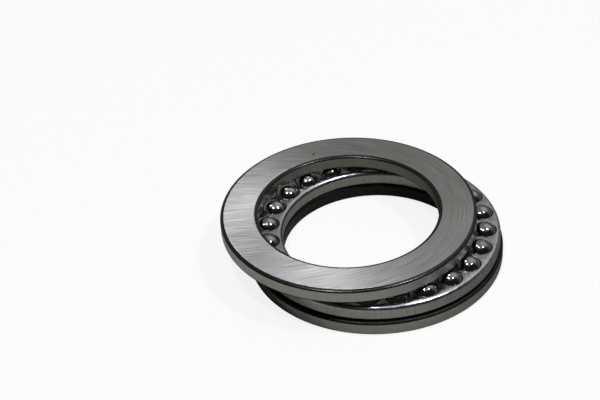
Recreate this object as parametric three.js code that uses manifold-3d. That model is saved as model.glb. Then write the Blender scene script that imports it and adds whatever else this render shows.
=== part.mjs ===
// Single-direction thrust ball bearing, lying flat with its shaft washer slid off-centre.
// Millimetres, +Z up. The origin is at the middle of the footprint, on the plane that the
// bearing lies on, so the two washers' axes stand at equal distances either side of it along X.

import * as THREE from 'three';
import { mergeVertices } from 'three/addons/utils/BufferGeometryUtils.js';
import Module from 'manifold-3d';

// Boundary dimensions of the bearing
const OUTSIDE_DIAMETER = 85;
const SHAFT_BORE_DIAMETER = 60;
const HOUSING_BORE_DIAMETER = 62;
const WASHER_HEIGHT = 5;
const WASHER_CORNER = 0.8;
const SEAT_CORNER_WIDTH = 1.5;

// How far the shaft washer's axis lies from the bearing's axis, towards -X
const SHAFT_WASHER_OFFSET = 8.75;

// Rolling elements and their grooves
const BALL_COUNT = 24;
const BALL_DIAMETER = 8.5;
const PITCH_DIAMETER = 72.3;
const FIRST_BALL_ANGLE = THREE.MathUtils.degToRad(-1);
const GROOVE_DEPTH = 0.75;
const GROOVE_TO_BALL_RADIUS = 1.08;
const RUNNING_GAP = 0.1;

// Pressed cage: an upside-down channel of sheet steel with rims turned in under the balls
const CAGE_INNER_DIAMETER = 61.8;
const CAGE_OUTER_DIAMETER = 83.2;
const CAGE_SHEET = 0.8;
const CAGE_HEIGHT = 4.95;
const CAGE_TOP_ABOVE_BALL_CENTRE = 1.95;
const CAGE_SHOULDER_RADIUS = 1.5;
const CAGE_CURL_RADIUS = 0.8;
const CAGE_RIM_TO_BALL_CENTRE = 4.1;
const CAGE_RIM_THICKNESS = 0.55;
const POCKET_TOP_DIAMETER = 8.15;
const POCKET_UNDERSIDE_DIAMETER = 8.7;

// How finely the round shapes are faceted
const RING_SEGMENTS = 72;
const GROOVE_STEPS = 6;
const SHOULDER_STEPS = 3;
const POCKET_SEGMENTS = 20;
const BALL_DETAIL = 2;

// Heights and places that follow from these
const OUTSIDE_RADIUS = OUTSIDE_DIAMETER / 2;
const BALL_RADIUS = BALL_DIAMETER / 2;
const PITCH_RADIUS = PITCH_DIAMETER / 2;
const GROOVE_RADIUS = BALL_RADIUS * GROOVE_TO_BALL_RADIUS;
const BALL_CENTRE_Z = WASHER_HEIGHT - GROOVE_DEPTH + BALL_RADIUS;
const SHAFT_WASHER_Z = BALL_CENTRE_Z + BALL_RADIUS + RUNNING_GAP;
const CAGE_TOP_Z = BALL_CENTRE_Z + CAGE_TOP_ABOVE_BALL_CENTRE;
const HOUSING_AXIS_X = SHAFT_WASHER_OFFSET / 2;
const SHAFT_AXIS_X = -SHAFT_WASHER_OFFSET / 2;

const wasm = await Module();
wasm.setup();

// --- Geometry helpers --------------------------------------------------------

// Turns a closed outline of [radius, height] points round the Z axis.
function turnedRing(outline, segments = RING_SEGMENTS) {
  const points = outline.map(([radius, height]) => new THREE.Vector2(radius, height));
  points.push(points[0].clone());
  const geometry = new THREE.LatheGeometry(points, segments);
  geometry.rotateX(Math.PI / 2);
  return geometry;
}

// Points along an arc in the outline's plane, both ends included; angles in degrees.
function arc(centreRadius, centreHeight, radius, startAngle, endAngle, steps) {
  return Array.from({ length: steps + 1 }, (_, i) => {
    const angle = THREE.MathUtils.degToRad(startAngle + ((endAngle - startAngle) * i) / steps);
    return [centreRadius + radius * Math.cos(angle), centreHeight + radius * Math.sin(angle)];
  });
}

// A manifold solid from a closed three.js geometry, with its shared vertices merged.
function toSolid(geometry) {
  const bare = geometry.clone();
  bare.deleteAttribute('normal');
  bare.deleteAttribute('uv');
  const merged = mergeVertices(bare);
  const vertProperties = new Float32Array(merged.attributes.position.array);
  const triVerts = new Uint32Array(merged.index.array);
  return new wasm.Manifold(new wasm.Mesh({ numProp: 3, vertProperties, triVerts }));
}

function toGeometry(solid) {
  const { vertProperties, triVerts } = solid.getMesh();
  const geometry = new THREE.BufferGeometry();
  geometry.setAttribute('position', new THREE.BufferAttribute(vertProperties, 3));
  geometry.setIndex(new THREE.BufferAttribute(triVerts, 1));
  geometry.computeVertexNormals();
  return geometry;
}

function steel(name, color, roughness) {
  return new THREE.MeshStandardMaterial({ name, color, roughness, metalness: 1 });
}

// --- Washers -----------------------------------------------------------------

// Both washers are the same ring, apart from the bore: broken corners all round, wider on
// the seat at height 0, and a shallow round groove in the face at height WASHER_HEIGHT.
function washerGeometry(boreDiameter) {
  const bore = boreDiameter / 2;
  const rim = OUTSIDE_RADIUS;
  const face = WASHER_HEIGHT;
  const corner = WASHER_CORNER;
  const grooveCentre = face - GROOVE_DEPTH - RUNNING_GAP + GROOVE_RADIUS;
  const halfAngle = THREE.MathUtils.radToDeg(Math.acos((grooveCentre - face) / GROOVE_RADIUS));
  const groove = arc(PITCH_RADIUS, grooveCentre, GROOVE_RADIUS, halfAngle - 90, -halfAngle - 90, GROOVE_STEPS);
  return turnedRing([
    [bore + SEAT_CORNER_WIDTH, 0],
    [rim - SEAT_CORNER_WIDTH, 0],
    [rim, corner],
    [rim, face - corner],
    [rim - corner, face],
    ...groove,
    [bore + corner, face],
    [bore, face - corner],
    [bore, corner],
  ]);
}

function makeHousingWasher() {
  const washer = new THREE.Mesh(washerGeometry(HOUSING_BORE_DIAMETER), steel('ground_steel', 0x8d8f8b, 0.35));
  washer.name = 'housing_washer';
  washer.position.x = HOUSING_AXIS_X;
  return washer;
}

// The shaft washer lies groove down, its flat land on the tops of the balls.
function makeShaftWasher() {
  const washer = new THREE.Mesh(washerGeometry(SHAFT_BORE_DIAMETER), steel('ground_steel', 0xa9aba8, 0.32));
  washer.name = 'shaft_washer';
  washer.rotation.x = Math.PI;
  washer.position.set(SHAFT_AXIS_X, 0, SHAFT_WASHER_Z + WASHER_HEIGHT);
  return washer;
}

// --- Cage --------------------------------------------------------------------

// Section of the channel: flanges and plate of one sheet thickness, joined by bends, and
// rims that curl in under the balls' widest part to hold them.
function channelGeometry() {
  const inner = CAGE_INNER_DIAMETER / 2;
  const outer = CAGE_OUTER_DIAMETER / 2;
  const top = CAGE_TOP_Z;
  const bottom = top - CAGE_HEIGHT;
  const rimTop = bottom + CAGE_RIM_THICKNESS;
  const innerRim = PITCH_RADIUS - CAGE_RIM_TO_BALL_CENTRE;
  const outerRim = PITCH_RADIUS + CAGE_RIM_TO_BALL_CENTRE;
  const shoulder = CAGE_SHOULDER_RADIUS;
  const insideBend = shoulder - CAGE_SHEET;
  const curl = CAGE_CURL_RADIUS;
  return turnedRing([
    [outerRim, bottom],
    ...arc(outer - curl, bottom + curl, curl, -90, 0, SHOULDER_STEPS),
    ...arc(outer - shoulder, top - shoulder, shoulder, 0, 90, SHOULDER_STEPS),
    ...arc(inner + shoulder, top - shoulder, shoulder, 90, 180, SHOULDER_STEPS),
    ...arc(inner + curl, bottom + curl, curl, 180, 270, SHOULDER_STEPS),
    [innerRim, bottom],
    [innerRim, rimTop],
    [inner + CAGE_SHEET, rimTop],
    ...arc(inner + shoulder, top - shoulder, insideBend, 180, 90, SHOULDER_STEPS),
    ...arc(outer - shoulder, top - shoulder, insideBend, 90, 0, SHOULDER_STEPS),
    [outer - CAGE_SHEET, rimTop],
    [outerRim, rimTop],
  ]);
}

// Tool for one pocket: a cone that is narrower at the plate's upper face, so that the ball
// stands through the plate but can't pass it.
function pocketTool(angle) {
  const taper = (POCKET_UNDERSIDE_DIAMETER - POCKET_TOP_DIAMETER) / 2 / CAGE_SHEET;
  const overrun = CAGE_SHEET / 2;
  const topRadius = POCKET_TOP_DIAMETER / 2 - taper * overrun;
  const bottomRadius = POCKET_UNDERSIDE_DIAMETER / 2 + taper * overrun;
  const tool = new THREE.CylinderGeometry(topRadius, bottomRadius, CAGE_SHEET + 2 * overrun, POCKET_SEGMENTS);
  tool.rotateX(Math.PI / 2);
  tool.translate(PITCH_RADIUS, 0, CAGE_TOP_Z - CAGE_SHEET / 2);
  tool.rotateZ(angle);
  return toSolid(tool);
}

function ballAngle(index) {
  return FIRST_BALL_ANGLE + (index * 2 * Math.PI) / BALL_COUNT;
}

function makeCage() {
  let channel = toSolid(channelGeometry());
  for (let index = 0; index < BALL_COUNT; index += 1) {
    channel = channel.subtract(pocketTool(ballAngle(index)));
  }
  const cage = new THREE.Mesh(toGeometry(channel), steel('pressed_steel', 0x9a9c99, 0.3));
  cage.name = 'ball_cage';
  cage.position.x = HOUSING_AXIS_X;
  return cage;
}

// --- Balls -------------------------------------------------------------------

function makeBall(index) {
  const ball = new THREE.Mesh(new THREE.IcosahedronGeometry(BALL_RADIUS, BALL_DETAIL), steel('ball_steel', 0xb5b8b6, 0.08));
  const angle = ballAngle(index);
  ball.name = `ball_${String(index + 1).padStart(2, '0')}`;
  ball.position.set(
    HOUSING_AXIS_X + PITCH_RADIUS * Math.cos(angle),
    PITCH_RADIUS * Math.sin(angle),
    BALL_CENTRE_Z,
  );
  ball.rotation.z = angle;
  return ball;
}

const bearing = new THREE.Group();
bearing.add(makeHousingWasher(), makeCage(), makeShaftWasher());
for (let index = 0; index < BALL_COUNT; index += 1) {
  bearing.add(makeBall(index));
}

export default bearing;
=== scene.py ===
import math

import bmesh
import bpy
from mathutils import Matrix, Vector


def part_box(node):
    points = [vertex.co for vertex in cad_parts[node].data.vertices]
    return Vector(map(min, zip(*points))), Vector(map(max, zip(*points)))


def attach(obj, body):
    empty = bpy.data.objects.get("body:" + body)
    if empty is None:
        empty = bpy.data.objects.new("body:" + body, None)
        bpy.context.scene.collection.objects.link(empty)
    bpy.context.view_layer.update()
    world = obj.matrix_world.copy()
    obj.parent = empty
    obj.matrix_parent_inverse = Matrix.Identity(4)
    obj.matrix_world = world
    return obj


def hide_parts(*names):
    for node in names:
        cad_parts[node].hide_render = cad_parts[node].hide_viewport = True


# A single-direction thrust ball bearing that lies flat, with its shaft washer slid off-centre.
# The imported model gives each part's place; the sections below are in millimetres.

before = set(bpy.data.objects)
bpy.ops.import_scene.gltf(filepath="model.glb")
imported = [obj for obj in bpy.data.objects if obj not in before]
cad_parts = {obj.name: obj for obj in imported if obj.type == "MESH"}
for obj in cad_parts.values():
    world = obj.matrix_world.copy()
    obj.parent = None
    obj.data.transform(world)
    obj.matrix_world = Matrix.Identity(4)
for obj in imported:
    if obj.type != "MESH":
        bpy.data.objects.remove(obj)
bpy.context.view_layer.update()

MM = 0.001

# Sections of the parts, in millimetres
HOUSING_BORE_RADIUS = 31.0
SHAFT_BORE_RADIUS = 30.0
WASHER_CORNER = 0.8
SEAT_CORNER_WIDTH = 1.5
# How far the grinding of the seat runs over its corners, in degrees of the corner's arc
GROUND_OVER = 13
PITCH_RADIUS = 36.15
BALL_RADIUS = 4.25
BALL_COUNT = 24
GROOVE_DEPTH = 0.85
GROOVE_RADIUS = 4.59
GROOVE_RIM_WIDTH = 0.15
# The groove's arc stops this many degrees short of the face, and its rim is rounded from there
GROOVE_RIM_ANGLE = 1
CAGE_SHEET = 0.8
CAGE_INNER_RADIUS = 30.9
CAGE_OUTER_RADIUS = 41.6
CAGE_SHOULDER_RADIUS = 1.5
CAGE_CURL_RADIUS = 0.8
CAGE_RIM_THICKNESS = 0.55
CAGE_RIM_TO_BALL_CENTRE = 4.1
POCKET_TOP_RADIUS = 4.075
POCKET_UNDERSIDE_RADIUS = 4.25
POCKET_LIP = 0.12
# How far in from the flanges' faces the pockets' patches of the plate end
PATCH_EDGE = 0.95

# How finely round shapes are cut
WASHER_SEGMENTS = 384
CORNER_STEPS = 8
GROUND_OVER_STEPS = 2
LIP_STEPS = 4
INSIDE_BEND_STEPS = 4
GROOVE_STEPS = 20
BALL_SUBDIVISIONS = 5
SEGMENTS_PER_POCKET = 16
POCKET_SIDE_SEGMENTS = 12
SUPPORT_LOOP = 0.05

# The camera: where it stands round the object, what it aims at, and its lens
CAMERA_AZIMUTH = math.radians(7.35)
CAMERA_ELEVATION = math.radians(36.52)
CAMERA_ROLL = math.radians(-3.65)
CAMERA_DISTANCE = 0.5293
CAMERA_AIM = Vector((-0.02385, 0.02835, 0.0))
CAMERA_LENS = 89.6


# --- Mesh helpers ------------------------------------------------------------


def arc(centre, radius, start, end, steps, widen=1.0):
    """Points [radius, height] on an arc of the section, both ends included; angles in degrees.
    widen draws it out along the section's radius."""
    angles = [math.radians(start + (end - start) * i / steps) for i in range(steps + 1)]
    return [(centre[0] + radius * widen * math.cos(a), centre[1] + radius * math.sin(a)) for a in angles]


def straight(start, end):
    """A straight stretch with a support loop near each end, which keeps its shading flat."""
    a, b = Vector(start), Vector(end)
    step = (b - a).normalized() * min(SUPPORT_LOOP, (b - a).length / 3)
    return [tuple(p) for p in (a, a + step, b - step, b)]


def ring_faces(bm, stretches, angles, closed=True):
    """Turns a chain of (finish, points) stretches round Z through the angles, each face with its finish."""
    points, finishes = [], []
    for finish, stretch in stretches:
        start = 0 if not points else 1
        points += stretch[start:]
        finishes += [finish] * (len(stretch) - 1)
    if closed:
        points.pop()
    rows = [
        [bm.verts.new((r * math.cos(a), r * math.sin(a), z)) for a in angles] for r, z in points
    ]
    for i, finish in enumerate(finishes):
        near, far = rows[i], rows[(i + 1) % len(rows)]
        for j in range(len(angles)):
            k = (j + 1) % len(angles)
            face = bm.faces.new((near[j], near[k], far[k], far[j]))
            face.material_index = finish
            face.smooth = True


def piece(name, bm, origin, materials, body, nodes):
    """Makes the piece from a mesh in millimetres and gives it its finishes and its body."""
    bmesh.ops.remove_doubles(bm, verts=bm.verts, dist=1e-4)
    bmesh.ops.recalc_face_normals(bm, faces=bm.faces)
    bmesh.ops.scale(bm, vec=(MM, MM, MM), verts=bm.verts)
    mesh = bpy.data.meshes.new(name)
    bm.to_mesh(mesh)
    bm.free()
    for material in materials:
        mesh.materials.append(material)
    obj = bpy.data.objects.new(name, mesh)
    bpy.context.scene.collection.objects.link(obj)
    obj.location = origin
    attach(obj, body)
    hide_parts(*nodes)
    return obj


def middle_of_foot(node):
    """The middle of a CAD node's footprint, at its lowest height."""
    low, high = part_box(node)
    return Vector(((low.x + high.x) / 2, (low.y + high.y) / 2, low.z))


def full_circle(segments, first=0.0):
    return [first + 2 * math.pi * i / segments for i in range(segments)]


# --- Shader helpers ----------------------------------------------------------


def linear(colour):
    """An sRGB hex colour such as "c8c8c4" as linear RGBA."""
    values = [int(colour[i : i + 2], 16) / 255 for i in (0, 2, 4)]
    return [v / 12.92 if v <= 0.04045 else ((v + 0.055) / 1.055) ** 2.4 for v in values] + [1.0]


def add(tree, kind, inputs=(), **settings):
    """Adds a node with its settings and links. The inputs are a list in the order of the sockets, or a
    dictionary by name or number; each is a value, or the node or socket that is linked to it."""
    node = tree.nodes.new("ShaderNode" + kind)
    for key, value in settings.items():
        setattr(node, key, value)
    for key, value in inputs.items() if isinstance(inputs, dict) else enumerate(inputs):
        if isinstance(value, bpy.types.Node):
            value = value.outputs[0]
        if isinstance(value, bpy.types.NodeSocket):
            tree.links.new(value, node.inputs[key])
        else:
            node.inputs[key].default_value = value
    return node


def metal(name):
    """A new material with a metallic Principled shader; its tree and shader are what a finish fills in."""
    material = bpy.data.materials.new(name)
    material.use_nodes = True
    tree = material.node_tree
    shader = tree.nodes["Principled BSDF"]
    shader.inputs["Metallic"].default_value = 1.0
    return material, tree, shader


def millimetres(tree, stretch=(1, 1, 1)):
    """The place on the part in millimetres from its axis, stretched along each axis."""
    place = add(tree, "TexCoord").outputs["Object"]
    return add(tree, "VectorMath", [place, [s / MM for s in stretch]], operation="MULTIPLY")


def dress(tree, shader, colour, roughness, height=None, depth_mm=0.0, sheen_along=None):
    """Gives a shader its colour and gloss, its relief, and the direction in the part's own axes that
    its reflections are drawn out along, which so turns with the part."""
    tree.links.new(colour, shader.inputs["Base Color"])
    tree.links.new(roughness.outputs[0], shader.inputs["Roughness"])
    if height is not None:
        bump = add(tree, "Bump", {"Height": height, "Strength": 1.0, "Distance": depth_mm * MM})
        tree.links.new(bump.outputs[0], shader.inputs["Normal"])
    if sheen_along is not None:
        into_world = {"vector_type": "VECTOR", "convert_from": "OBJECT", "convert_to": "WORLD"}
        world = add(tree, "VectorTransform", [sheen_along], **into_world)
        tree.links.new(world.outputs[0], shader.inputs["Tangent"])


# --- Finishes ----------------------------------------------------------------

# Where the grinding lines on the flat faces start from. The deep lines run straight out through the rim
# on one side and curve with the rim on the other, so their direction turns by half a turn round the ring.
GRINDING_TURN = math.radians(172.65)
LINE_BEND = 1 / 9
# The sheen comes from the finest lines, of the last passes, which turn evenly apart from a slow swing
SHEEN_SWING = 0.12
SHEEN_SWING_AT = math.radians(30)
SHEEN_SET = math.radians(6)
# The lines of a 60 grit wheel are a few hundredths of a millimetre wide. Lines of 0.3 mm are drawn
# for them, the finest that show, and the shader's anisotropy stands for the rest.
GRINDING_LINES_PER_MM = 3.6
# Lengthwise the lines are counted in square roots of millimetres from the axis, which keeps them long
GRINDING_LENGTHS_PER_UNIT = 0.9
GRINDING_DEPTH = 0.03
# A dark dent from handling in the upper face of the shaft washer
DENT_PLACE = (-14.1, 31.2, 5.0)
DENT_HALF_SIZE = (0.45, 1.1, 1.0)
# Oil film and handling leave clouds some 10 mm across
CLOUDS_PER_MM = 0.1
# Round grinding leaves level lines, drawn 0.25 mm high for finer ones, and chatter bars 3 mm wide
LEVEL_LINES_PER_MM = 4.0
CHATTER_BARS_PER_MM = 0.35
# Scale has a grain of 0.6 mm, drawn for finer crystals, and is rubbed bright in spots of some 5 mm
SCALE_GRAINS_PER_MM = 1.6
RUBBED_SPOTS_PER_MM = 0.22
# Honing leaves level lines, drawn 0.3 mm apart for finer ones
HONING_LINES_PER_MM = 3.0
# Rolling leaves straight lines on sheet steel and the dies leave upright marks. Both are drawn coarser than
# they are, 0.4 and 0.8 mm apart.
ROLLING_LINES_PER_MM = 2.4
DRAWING_MARKS_PER_MM = 1.2
# Oil stains are some 3 mm across, and patches of a duller satin 2.5 mm
STAINS_PER_MM = 0.3
SATIN_PATCHES_PER_MM = 0.4
# The oil film on a ball breaks into patches 2 mm across, and each ball shows its own share of them
BALL_FILM_PER_MM = 0.45
BALL_FILM_SHIFT = 40.0


def surface_ground_bearing_steel():
    """Hardened chrome steel, ground flat: long straight-looking lines, which spread a lamp's reflection
    into a broad sheen wherever they lie across it."""
    material, tree, shader = metal("surface_ground_bearing_steel")
    flat = millimetres(tree, (1, 1, 0))
    turned = add(tree, "VectorRotate", {"Vector": flat, "Angle": GRINDING_TURN}, rotation_type="Z_AXIS")
    split = add(tree, "SeparateXYZ", [turned])
    angle = add(tree, "Math", [split.outputs[1], split.outputs[0]], operation="ARCTAN2")
    half_angle = add(tree, "Math", [angle, 0.5], operation="MULTIPLY")
    radius = add(tree, "VectorMath", [flat], operation="LENGTH").outputs["Value"]
    root = add(tree, "Math", [radius], operation="SQRT")
    cosine = add(tree, "Math", [half_angle], operation="COSINE")
    along = add(tree, "Math", [root, cosine], operation="MULTIPLY")
    sine = add(tree, "Math", [half_angle], operation="SINE")
    tripled = add(tree, "Math", [half_angle, 3.0], operation="MULTIPLY")
    third = add(tree, "Math", [tripled], operation="SINE")
    bent = add(tree, "Math", [third, LINE_BEND, sine], operation="MULTIPLY_ADD")
    across = add(tree, "Math", [radius, bent], operation="MULTIPLY")
    # Two copies, the second turned by half a turn, leave no seam where the half angle jumps
    lines = []
    for side in (1, -1):
        lengthwise = add(tree, "Math", [along, side * GRINDING_LENGTHS_PER_UNIT], operation="MULTIPLY")
        crosswise = add(tree, "Math", [across, side * GRINDING_LINES_PER_MM], operation="MULTIPLY")
        place = add(tree, "CombineXYZ", [lengthwise, crosswise])
        lines.append(add(tree, "TexNoise", {"Vector": place, "Scale": 1.0, "Detail": 3.0, "Roughness": 0.6}))
    both = add(tree, "Math", lines, operation="ADD")
    streak = add(tree, "MapRange", [both, 0.7, 1.3, 0.0, 1.0], interpolation_type="SMOOTHSTEP")
    steel = add(tree, "Mix", {0: streak, 6: linear("acaca9"), 7: linear("dededc")}, data_type="RGBA")
    spread = millimetres(tree, [CLOUDS_PER_MM] * 3)
    cloud = add(tree, "TexNoise", {"Vector": spread, "Scale": 1.0, "Detail": 3.0, "Roughness": 0.5})
    film = add(tree, "MapRange", [cloud, 0.35, 0.65, 0.0, 0.35], interpolation_type="SMOOTHSTEP")
    clouded = add(tree, "Mix", {0: film, 6: steel.outputs[2], 7: linear("b9b7ac")}, data_type="RGBA")
    from_dent = add(tree, "VectorMath", [millimetres(tree), DENT_PLACE], operation="SUBTRACT")
    scaled = add(tree, "VectorMath", [from_dent, DENT_HALF_SIZE], operation="DIVIDE")
    distance = add(tree, "VectorMath", [scaled], operation="LENGTH").outputs["Value"]
    dent = add(tree, "MapRange", [distance, 0.3, 1.1, 1.0, 0.0], interpolation_type="SMOOTHSTEP")
    dented = add(tree, "Mix", {0: dent, 6: clouded.outputs[2], 7: linear("4a4a48")}, data_type="RGBA")
    gloss = add(tree, "MapRange", [streak, 0.0, 1.0, 0.40, 0.47], interpolation_type="SMOOTHSTEP")
    # The sheen is drawn out across the finest lines
    from_swing = add(tree, "Math", [angle, SHEEN_SWING_AT], operation="SUBTRACT")
    swing = add(tree, "Math", [from_swing], operation="SINE")
    heading = add(tree, "Math", [swing, -SHEEN_SWING, half_angle], operation="MULTIPLY_ADD")
    crossing = add(tree, "Math", [heading, math.pi / 2 - SHEEN_SET], operation="ADD")
    crossing_cosine = add(tree, "Math", [crossing], operation="COSINE")
    crossing_sine = add(tree, "Math", [crossing], operation="SINE")
    sheen = add(tree, "CombineXYZ", [crossing_cosine, crossing_sine])
    back = add(tree, "VectorRotate", {"Vector": sheen, "Angle": -GRINDING_TURN}, rotation_type="Z_AXIS")
    shader.inputs["Anisotropic"].default_value = 0.87
    height = add(tree, "Math", [streak, dent], operation="SUBTRACT")
    dress(tree, shader, dented.outputs[2], gloss, height, GRINDING_DEPTH, back)
    return material


def cylindrically_ground_steel(name, dull, bright, bar):
    """The same steel ground round and round: fine level lines, crossed by the faint upright bars
    that the wheel's chatter leaves."""
    material, tree, shader = metal(name)
    lined = millimetres(tree, (0.15, 0.15, LEVEL_LINES_PER_MM))
    level = add(tree, "TexNoise", {"Vector": lined, "Scale": 1.0, "Detail": 3.0, "Roughness": 0.6})
    barred = millimetres(tree, (CHATTER_BARS_PER_MM, CHATTER_BARS_PER_MM, 0.02))
    bars = add(tree, "TexNoise", {"Vector": barred, "Scale": 1.0, "Detail": 2.0, "Roughness": 0.5})
    steel = add(tree, "Mix", {0: level, 6: linear(dull), 7: linear(bright)}, data_type="RGBA")
    chatter = add(tree, "MapRange", [bars, 0.3, 0.7, 0.0, 0.3], interpolation_type="SMOOTHSTEP")
    crossed = add(tree, "Mix", {0: chatter, 6: steel.outputs[2], 7: linear(bar)}, data_type="RGBA")
    gloss = add(tree, "MapRange", [level, 0.3, 0.7, 0.25, 0.3], interpolation_type="SMOOTHSTEP")
    upright = add(tree, "CombineXYZ", {2: 1.0})
    shader.inputs["Anisotropic"].default_value = 0.6
    dress(tree, shader, crossed.outputs[2], gloss, level, 0.004, upright)
    return material


def hardening_scale(name, dark, bright, gloss_range, specular):
    """Turned steel left with the dark oxide of hardening: nearly black, half glossy, a little uneven,
    rubbed brighter in spots."""
    material, tree, shader = metal(name)
    shader.inputs["Metallic"].default_value = 0.0
    shader.inputs["Specular IOR Level"].default_value = specular
    fine = millimetres(tree, [SCALE_GRAINS_PER_MM] * 3)
    grain = add(tree, "TexNoise", {"Vector": fine, "Scale": 1.0, "Detail": 4.0, "Roughness": 0.6})
    spots = millimetres(tree, (RUBBED_SPOTS_PER_MM, RUBBED_SPOTS_PER_MM, 0.5))
    rubbed = add(tree, "TexNoise", {"Vector": spots, "Scale": 1.0, "Detail": 3.0, "Roughness": 0.5})
    scale = add(tree, "Mix", {0: grain, 6: linear(dark), 7: linear(bright)}, data_type="RGBA")
    bared = add(tree, "MapRange", [rubbed, 0.58, 0.75, 0.0, 0.5], interpolation_type="SMOOTHSTEP")
    worn = add(tree, "Mix", {0: bared, 6: scale.outputs[2], 7: linear("2a2927")}, data_type="RGBA")
    gloss = add(tree, "MapRange", [grain, 0.3, 0.7, *gloss_range], interpolation_type="SMOOTHSTEP")
    dress(tree, shader, worn.outputs[2], gloss, grain, 0.003)
    return material


def honed_raceway_steel():
    """The groove that the balls run in: ground and then honed to a dull mirror, with level lines."""
    material, tree, shader = metal("honed_raceway_steel")
    lined = millimetres(tree, (0.1, 0.1, HONING_LINES_PER_MM))
    level = add(tree, "TexNoise", {"Vector": lined, "Scale": 1.0, "Detail": 3.0, "Roughness": 0.6})
    steel = add(tree, "Mix", {0: level, 6: linear("bcbcb6"), 7: linear("cfcfca")}, data_type="RGBA")
    gloss = add(tree, "MapRange", [level, 0.3, 0.7, 0.14, 0.2], interpolation_type="SMOOTHSTEP")
    dress(tree, shader, steel.outputs[2], gloss, level, 0.001)
    return material


def pressed_sheet_steel(name, dull, bright):
    """Cold-rolled sheet, pierced and drawn into a channel: smooth and satin, straight rolling lines on
    the plate, upright drawing marks on the flanges, thin yellowish oil stains."""
    material, tree, shader = metal(name)
    lengthwise = millimetres(tree, (0.12, ROLLING_LINES_PER_MM, 0.0))
    rolled = add(tree, "TexNoise", {"Vector": lengthwise, "Scale": 1.0, "Detail": 3.0, "Roughness": 0.6})
    upright = millimetres(tree, (DRAWING_MARKS_PER_MM, DRAWING_MARKS_PER_MM, 0.05))
    drawn = add(tree, "TexNoise", {"Vector": upright, "Scale": 1.0, "Detail": 2.0, "Roughness": 0.5})
    spread = millimetres(tree, (STAINS_PER_MM, STAINS_PER_MM, 0.5))
    stain = add(tree, "TexNoise", {"Vector": spread, "Scale": 1.0, "Detail": 3.0, "Roughness": 0.6})
    patches = millimetres(tree, [SATIN_PATCHES_PER_MM] * 3)
    satin = add(tree, "TexNoise", {"Vector": patches, "Scale": 1.0, "Detail": 2.0, "Roughness": 0.5})
    sum_of_both = add(tree, "Math", [rolled, drawn], operation="ADD")
    both = add(tree, "Math", [sum_of_both, 0.5], operation="MULTIPLY")
    marks = add(tree, "MapRange", [both, 0.35, 0.65, 0.0, 1.0], interpolation_type="SMOOTHSTEP")
    steel = add(tree, "Mix", {0: marks, 6: linear(dull), 7: linear(bright)}, data_type="RGBA")
    oiled = add(tree, "MapRange", [stain, 0.56, 0.72, 0.0, 0.55], interpolation_type="SMOOTHSTEP")
    stained = add(tree, "Mix", {0: oiled, 6: steel.outputs[2], 7: linear("a8a48c")}, data_type="RGBA")
    gloss = add(tree, "MapRange", [satin, 0.3, 0.7, 0.2, 0.28], interpolation_type="SMOOTHSTEP")
    dress(tree, shader, stained.outputs[2], gloss, both, 0.0015)
    return material


def lapped_ball_steel():
    """Balls lapped to a mirror, filmed here and there with preserving oil."""
    material, tree, shader = metal("lapped_ball_steel")
    which = add(tree, "ObjectInfo").outputs["Random"]
    shift = add(tree, "Math", [which, BALL_FILM_SHIFT], operation="MULTIPLY")
    aside = add(tree, "CombineXYZ", [shift])
    own = add(tree, "VectorMath", [millimetres(tree, [BALL_FILM_PER_MM] * 3), aside], operation="ADD")
    film = add(tree, "TexNoise", {"Vector": own, "Scale": 1.0, "Detail": 3.0, "Roughness": 0.6})
    filmed = add(tree, "MapRange", [film, 0.45, 0.7, 0.0, 0.6], interpolation_type="SMOOTHSTEP")
    steel = add(tree, "Mix", {0: filmed, 6: linear("a9aaa6"), 7: linear("99968a")}, data_type="RGBA")
    gloss = add(tree, "MapRange", [film, 0.4, 0.7, 0.04, 0.11], interpolation_type="SMOOTHSTEP")
    dress(tree, shader, steel.outputs[2], gloss)
    return material


GROUND_FACE, GROUND_WALL, SHADED_GROUND_BORE, SCALE, RACEWAY, DULL_SCALE_AND_SHADE = range(6)
washer_finishes = [
    surface_ground_bearing_steel(),
    cylindrically_ground_steel("cylindrically_ground_bearing_steel", "bcbcb3", "d2d2ca", "adada3"),
    # The bore's darker copy of the wall finish: partly a duller bore finish, partly painted shade from
    # inside the ring
    cylindrically_ground_steel("internally_ground_steel_with_painted_shade", "908f87", "a5a49b", "84827a"),
    hardening_scale("hardening_scale", "080808", "131312", (0.22, 0.32), 0.4),
    honed_raceway_steel(),
    # Darker and duller than the scale: real oxide that also stands as painted shade in the gap under the
    # cage, on the lands and the housing washer's corners
    hardening_scale("dull_hardening_scale_and_painted_shade", "060606", "0e0e0d", (0.4, 0.5), 0.2),
]
PLATE, FLANGE = range(2)
cage_finishes = [
    pressed_sheet_steel("cold_rolled_sheet_steel", "b2b4b7", "cccecf"),
    pressed_sheet_steel("drawn_sheet_steel", "b9b9ae", "cbcbc1"),
]
ball_steel = lapped_ball_steel()


# --- Washers -----------------------------------------------------------------


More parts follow.
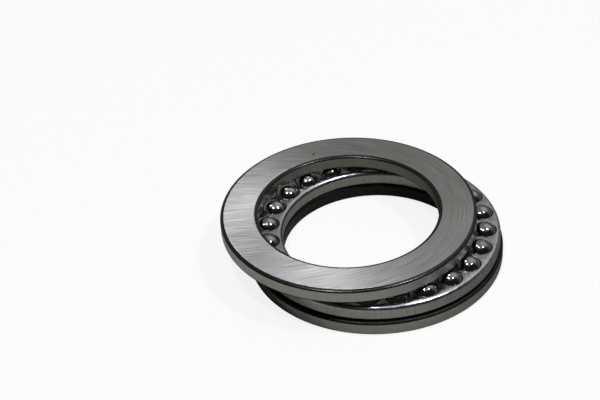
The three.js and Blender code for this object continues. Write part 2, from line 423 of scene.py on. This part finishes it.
def washer(name, node, bore_radius, bore_finish, corner_finish, groove_up):
    """A washer: ground seat and walls, dark rounded corners, and a face with the groove between dark
    lands, which no grinding wheel reaches; their dull scale is also painted shade of the gap under the cage."""
    low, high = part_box(node)
    outside = (high.x - low.x) / 2 / MM
    height = (high.z - low.z) / MM
    corner, seat = WASHER_CORNER, SEAT_CORNER_WIDTH
    widen = seat / corner
    groove_centre = height - GROOVE_DEPTH + GROOVE_RADIUS
    half_angle = math.degrees(math.acos((groove_centre - height) / GROOVE_RADIUS))
    half_width = GROOVE_RADIUS * math.sin(math.radians(half_angle))
    rim = GROOVE_RIM_WIDTH
    half_arc = half_angle - GROOVE_RIM_ANGLE
    groove = arc((PITCH_RADIUS, groove_centre), GROOVE_RADIUS, half_arc - 90, -half_arc - 90, GROOVE_STEPS)
    groove_outside = PITCH_RADIUS + half_width + rim
    groove_inside = PITCH_RADIUS - half_width - rim
    inner, outer = bore_radius, outside
    stretches = [
        (GROUND_FACE, straight((inner + seat, 0), (outer - seat, 0))),
        (GROUND_FACE, arc((outer - seat, corner), corner, -90, GROUND_OVER - 90, GROUND_OVER_STEPS, widen)),
        (corner_finish, arc((outer - seat, corner), corner, GROUND_OVER - 90, 0, CORNER_STEPS, widen)),
        (GROUND_WALL, straight((outer, corner), (outer, height - corner))),
        (corner_finish, arc((outer - corner, height - corner), corner, 0, 90, CORNER_STEPS)),
        (DULL_SCALE_AND_SHADE, straight((outer - corner, height), (groove_outside, height))),
        (RACEWAY, [(groove_outside, height), *groove, (groove_inside, height)]),
        (DULL_SCALE_AND_SHADE, straight((groove_inside, height), (inner + corner, height))),
        (corner_finish, arc((inner + corner, height - corner), corner, 90, 180, CORNER_STEPS)),
        (bore_finish, straight((inner, height - corner), (inner, corner))),
        (corner_finish, arc((inner + seat, corner), corner, 180, 270 - GROUND_OVER, CORNER_STEPS, widen)),
        (GROUND_FACE, arc((inner + seat, corner), corner, 270 - GROUND_OVER, 270, GROUND_OVER_STEPS, widen)),
    ]
    if not groove_up:
        stretches = [(finish, [(r, height - z) for r, z in points]) for finish, points in stretches]
    bm = bmesh.new()
    ring_faces(bm, stretches, full_circle(WASHER_SEGMENTS))
    return piece(name, bm, middle_of_foot(node), washer_finishes, node, [node])


washer("housing_washer_ring", "housing_washer", HOUSING_BORE_RADIUS, SCALE, DULL_SCALE_AND_SHADE, groove_up=True)
washer("shaft_washer_ring", "shaft_washer", SHAFT_BORE_RADIUS, SHADED_GROUND_BORE, SCALE, groove_up=False)


# --- Cage --------------------------------------------------------------------


def ball_node(index):
    return f"ball_{index + 1:02d}"


def ball_centre(index):
    low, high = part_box(ball_node(index))
    return (low + high) / 2


def bent_down(radius, bend):
    """How far the sheet, bent with this radius, has come down from the plate at a distance from the axis."""
    outer_start = CAGE_OUTER_RADIUS - CAGE_SHOULDER_RADIUS
    inner_start = CAGE_INNER_RADIUS + CAGE_SHOULDER_RADIUS
    past = max(radius - outer_start, inner_start - radius, 0)
    return bend - math.sqrt(bend**2 - past**2)


def pocket_patch(bm, centre_angle, levels):
    """One pocket's share of the plate, from the sector's border above into the pocket and out to the
    border below. levels gives (distance from the pocket's centre or None for the border, height, bend)."""
    half = math.pi / BALL_COUNT
    inner, outer = CAGE_INNER_RADIUS + PATCH_EDGE, CAGE_OUTER_RADIUS - PATCH_EDGE
    across = [half * (2 * i / SEGMENTS_PER_POCKET - 1) for i in range(SEGMENTS_PER_POCKET)]
    sides = [i / POCKET_SIDE_SEGMENTS for i in range(POCKET_SIDE_SEGMENTS)]
    border = [(outer, a) for a in across]
    border += [(outer + (inner - outer) * s, half) for s in sides]
    border += [(inner, -a) for a in across]
    border += [(inner + (outer - inner) * s, -half) for s in sides]
    flat = [Vector((r * math.cos(a) - PITCH_RADIUS, r * math.sin(a))) for r, a in border]
    turn = Matrix.Rotation(centre_angle, 3, "Z")
    rows = []
    for distance, height, bend in levels:
        row = []
        for point in flat:
            at = point if distance is None else point.normalized() * distance
            place = Vector((at.x + PITCH_RADIUS, at.y, 0))
            place.z = height - bent_down(place.length, bend)
            row.append(bm.verts.new(turn @ place))
        rows.append(row)
    for near, far in zip(rows, rows[1:]):
        for j in range(len(near)):
            k = (j + 1) % len(near)
            bm.faces.new((near[j], near[k], far[k], far[j])).smooth = True


def cage():
    """The channel with its pockets: plate, bent shoulders, flanges and rims turned in."""
    low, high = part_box("ball_cage")
    top = (high.z - low.z) / MM
    axis = middle_of_foot("ball_cage")
    inner, outer = CAGE_INNER_RADIUS, CAGE_OUTER_RADIUS
    shoulder, curl = CAGE_SHOULDER_RADIUS, CAGE_CURL_RADIUS
    sheet, rim = CAGE_SHEET, CAGE_RIM_THICKNESS
    inside = shoulder - sheet
    inner_rim = PITCH_RADIUS - CAGE_RIM_TO_BALL_CENTRE
    outer_rim = PITCH_RADIUS + CAGE_RIM_TO_BALL_CENTRE
    bend_height = top - shoulder
    inner_bend, outer_bend = (inner + shoulder, bend_height), (outer - shoulder, bend_height)
    # Where the bends meet the pockets' patches, as angles on the bends
    above = math.degrees(math.acos((shoulder - PATCH_EDGE) / shoulder))
    below = math.degrees(math.acos((shoulder - PATCH_EDGE) / inside))
    outer_side = [
        (PLATE, arc(outer_bend, shoulder, above, 0, CORNER_STEPS)),
        (FLANGE, straight((outer, bend_height), (outer, curl))),
        (FLANGE, arc((outer - curl, curl), curl, 0, -90, CORNER_STEPS)),
        (FLANGE, straight((outer - curl, 0), (outer_rim, 0))),
        (FLANGE, straight((outer_rim, 0), (outer_rim, rim))),
        (FLANGE, straight((outer_rim, rim), (outer - sheet, rim))),
        (FLANGE, straight((outer - sheet, rim), (outer - sheet, bend_height))),
        (FLANGE, arc(outer_bend, inside, 0, below, INSIDE_BEND_STEPS)),
    ]
    inner_side = [
        (PLATE, arc(inner_bend, shoulder, 180 - above, 180, CORNER_STEPS)),
        (FLANGE, straight((inner, bend_height), (inner, curl))),
        (FLANGE, arc((inner + curl, curl), curl, 180, 270, CORNER_STEPS)),
        (FLANGE, straight((inner + curl, 0), (inner_rim, 0))),
        (FLANGE, straight((inner_rim, 0), (inner_rim, rim))),
        (FLANGE, straight((inner_rim, rim), (inner + sheet, rim))),
        (FLANGE, straight((inner + sheet, rim), (inner + sheet, bend_height))),
        (FLANGE, arc(inner_bend, inside, 180, 180 - below, INSIDE_BEND_STEPS)),
    ]
    first = math.atan2(ball_centre(0).y - axis.y, ball_centre(0).x - axis.x)
    bm = bmesh.new()
    angles = full_circle(BALL_COUNT * SEGMENTS_PER_POCKET, first - math.pi / BALL_COUNT)
    ring_faces(bm, outer_side, angles, closed=False)
    ring_faces(bm, inner_side, angles, closed=False)
    lip = arc((POCKET_TOP_RADIUS + POCKET_LIP, top - POCKET_LIP), POCKET_LIP, 90, 180, LIP_STEPS)
    under = POCKET_UNDERSIDE_RADIUS
    slope = straight((POCKET_TOP_RADIUS, top - POCKET_LIP), (under, top - sheet))
    pocket_levels = [(None, top, shoulder)]
    pocket_levels += [(distance, height, shoulder) for distance, height in [*lip, *slope[1:-1]]]
    pocket_levels += [(under, top - sheet, inside), (None, top - sheet, inside)]
    for index in range(BALL_COUNT):
        pocket_patch(bm, first + 2 * math.pi * index / BALL_COUNT, pocket_levels)
    return piece("ball_cage_channel", bm, axis, cage_finishes, "ball_cage", ["ball_cage"])


cage()


# --- Balls -------------------------------------------------------------------


def ball(index):
    """One ball, whose lapped skin shows its own share of the oil film, so that no two look alike."""
    node = ball_node(index)
    bm = bmesh.new()
    bmesh.ops.create_icosphere(bm, subdivisions=BALL_SUBDIVISIONS, radius=BALL_RADIUS)
    for face in bm.faces:
        face.smooth = True
    return piece(f"{node}_sphere", bm, ball_centre(index), [ball_steel], node, [node])


for index in range(BALL_COUNT):
    ball(index)


# --- Stage, lights and camera ------------------------------------------------

FLOOR_HALF_SIZE = 3.0
# A hair's breadth under the bearing, so that the two faces never coincide
FLOOR_GAP = 0.00002
# The paper's own even glow, its diffuse share, and the bench that steel mirrors in its place, with
# painted shade that darkens it towards the right, from the nearer to the further place in millimetres
PAPER_GLOW = 0.94
PAPER_SHADE = "5e5e5e"
BENCH_COLOUR = "9a9a95"
BENCH_IN_SHADE = "6c6c68"
BENCH_SHADE_FROM = 10.0
BENCH_SHADE_TO = 60.0
# How near the bearing the bench is darkened by painted contact shade, in metres
BENCH_CREVICE = 0.05
LAMP_DISTANCE = 1.2
LAMP_RADIUS = 0.04
LAMP_POWER = 6.5
LAMP_COLOUR = "f6f8ff"
# Towards each lamp, in axes turned with the camera: right, away, up
LAMP_DIRECTIONS = {"right_lamp": (0.417, -0.146, 0.897), "left_lamp": (-0.183, -0.195, 0.964)}
ROOM_FRONT = "242424"
ROOM_BACK = "8e8e8c"
ROOM_ABOVE = "9c9da0"
# A bright patch of the room to the right and behind, in the same axes
WINDOW_COLOUR = "d2d4d8"
WINDOW_DIRECTION = (0.45, 0.45, 0.77)


def pale_floor():
    """A seamless pale sheet, lit evenly. Steel mirrors a dull bench in its place, which takes shadows and
    has painted shade near the bearing and on the right.
    """
    bm = bmesh.new()
    bmesh.ops.create_grid(bm, x_segments=8, y_segments=8, size=FLOOR_HALF_SIZE)
    mesh = bpy.data.meshes.new("pale_floor")
    bm.to_mesh(mesh)
    bm.free()
    floor = bpy.data.objects.new("pale_floor", mesh)
    floor.location.z = -FLOOR_GAP
    bpy.context.scene.collection.objects.link(floor)
    material = bpy.data.materials.new("pale_paper_backdrop")
    material.use_nodes = True
    tree = material.node_tree
    tree.nodes.clear()
    fine = millimetres(tree, (0.5, 0.5, 0.5))
    fibre = add(tree, "TexNoise", {"Vector": fine, "Scale": 1.0, "Detail": 2.0, "Roughness": 0.5})
    paper = add(tree, "Mix", {0: fibre, 6: linear("f2f2f1"), 7: linear("f8f8f8")}, data_type="RGBA")
    glow = add(tree, "Emission", {"Color": paper.outputs[2], "Strength": PAPER_GLOW})
    sheet = add(tree, "BsdfDiffuse", {"Color": linear(PAPER_SHADE)})
    lit = add(tree, "AddShader", [glow, sheet])
    # Painted shade: the mirrored bench is darkened towards the right and near the bearing
    sideways = add(tree, "SeparateXYZ", [millimetres(tree)]).outputs[0]
    shade_range = [sideways, BENCH_SHADE_FROM, BENCH_SHADE_TO, 0.0, 1.0]
    in_shade = add(tree, "MapRange", shade_range, interpolation_type="SMOOTHSTEP")
    bench_ends = {0: in_shade, 6: linear(BENCH_COLOUR), 7: linear(BENCH_IN_SHADE)}
    dull = add(tree, "Mix", bench_ends, data_type="RGBA").outputs[2]
    contact_shaded_bench = add(tree, "AmbientOcclusion", {"Color": dull, "Distance": BENCH_CREVICE}, samples=8)
    bench = add(tree, "BsdfDiffuse", {"Color": contact_shaded_bench})
    mirrored = add(tree, "LightPath").outputs["Is Glossy Ray"]
    seen = add(tree, "MixShader", [mirrored, lit, bench])
    add(tree, "OutputMaterial", {"Surface": seen})
    mesh.materials.append(material)


def turned_with_camera(direction):
    return Matrix.Rotation(CAMERA_AZIMUTH, 3, "Z") @ Vector(direction)


def lamps():
    for name, direction in LAMP_DIRECTIONS.items():
        light = bpy.data.lights.new(name, "AREA")
        light.shape = "DISK"
        light.size = 2 * LAMP_RADIUS
        light.energy = LAMP_POWER
        light.color = linear(LAMP_COLOUR)[:3]
        obj = bpy.data.objects.new(name, light)
        bpy.context.scene.collection.objects.link(obj)
        towards = turned_with_camera(direction).normalized()
        obj.location = towards * LAMP_DISTANCE
        obj.rotation_mode = "QUATERNION"
        obj.rotation_quaternion = towards.to_track_quat("Z", "Y")


def room():
    """What the steel mirrors: a dull grey room, darker in front, paler overhead, with a bright patch to
    the right and behind."""
    world = bpy.data.worlds.new("workshop")
    bpy.context.scene.world = world
    world.use_nodes = True
    tree = world.node_tree
    tree.nodes.clear()
    direction = add(tree, "TexCoord").outputs["Generated"]
    to_camera_axes = {"Vector": direction, "Angle": -CAMERA_AZIMUTH}
    turned = add(tree, "VectorRotate", to_camera_axes, rotation_type="Z_AXIS")
    split = add(tree, "SeparateXYZ", [turned])
    away = add(tree, "MapRange", [split.outputs[1], -0.3, 0.6, 0.0, 1.0], interpolation_type="SMOOTHSTEP")
    aloft = add(tree, "MapRange", [split.outputs[2], -0.1, 0.6, 0.35, 1.0], interpolation_type="SMOOTHSTEP")
    overhead = add(tree, "MapRange", [split.outputs[2], 0.8, 1.0, 0.0, 1.0], interpolation_type="SMOOTHSTEP")
    backwards = add(tree, "Math", [away, aloft], operation="MULTIPLY")
    wall = add(tree, "Mix", {0: backwards, 6: linear(ROOM_FRONT), 7: linear(ROOM_BACK)}, data_type="RGBA")
    ceiling = add(tree, "Mix", {0: overhead, 6: wall.outputs[2], 7: linear(ROOM_ABOVE)}, data_type="RGBA")
    to_window = add(tree, "VectorMath", [turned, WINDOW_DIRECTION], operation="DOT_PRODUCT").outputs["Value"]
    window = add(tree, "MapRange", [to_window, 0.85, 1.0, 0.0, 1.0], interpolation_type="SMOOTHSTEP")
    colour = add(tree, "Mix", {0: window, 6: ceiling.outputs[2], 7: linear(WINDOW_COLOUR)}, data_type="RGBA")
    background = add(tree, "Background", {"Color": colour.outputs[2], "Strength": 1.0})
    add(tree, "OutputWorld", {"Surface": background})


def camera():
    data = bpy.data.cameras.new("camera")
    data.lens = CAMERA_LENS
    data.sensor_width = 36.0
    data.clip_start = 0.01
    obj = bpy.data.objects.new("camera", data)
    bpy.context.scene.collection.objects.link(obj)
    back = turned_with_camera((0, -math.cos(CAMERA_ELEVATION), math.sin(CAMERA_ELEVATION)))
    obj.location = CAMERA_AIM + back * CAMERA_DISTANCE
    right = turned_with_camera((1, 0, 0))
    up = back.cross(right)
    upright = Matrix((right, up, back)).transposed()
    obj.rotation_mode = "QUATERNION"
    obj.rotation_quaternion = (upright @ Matrix.Rotation(CAMERA_ROLL, 3, "Z")).to_quaternion()
    bpy.context.scene.camera = obj


pale_floor()
lamps()
room()
camera()
bpy.context.scene.view_settings.view_transform = "Standard"
